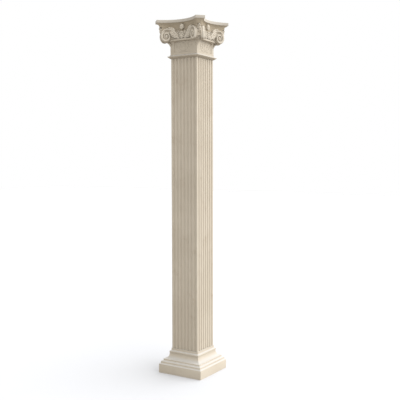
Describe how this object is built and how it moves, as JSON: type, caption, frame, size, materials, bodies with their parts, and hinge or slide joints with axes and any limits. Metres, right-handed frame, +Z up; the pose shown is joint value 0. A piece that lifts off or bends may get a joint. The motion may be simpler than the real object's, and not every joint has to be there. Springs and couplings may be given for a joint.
{
  "type": "square fluted column",
  "caption": "Square fluted column of cream cast stone with a moulded base and a leafy capital of corner volutes.",
  "frame": {"origin": "middle of the plinth's underside, on the floor", "axes": "+Z up the column's axis; each face of the square plan looks along X or Y"},
  "size_m": [0.497, 0.497, 3.018],
  "materials": {
    "cast_stone": "matt"
  },
  "bodies": {
    "root": {"base": "cast_stone", "shaft": "cast_stone", "capital": "cast_stone"}
  },
  "joints": []
}
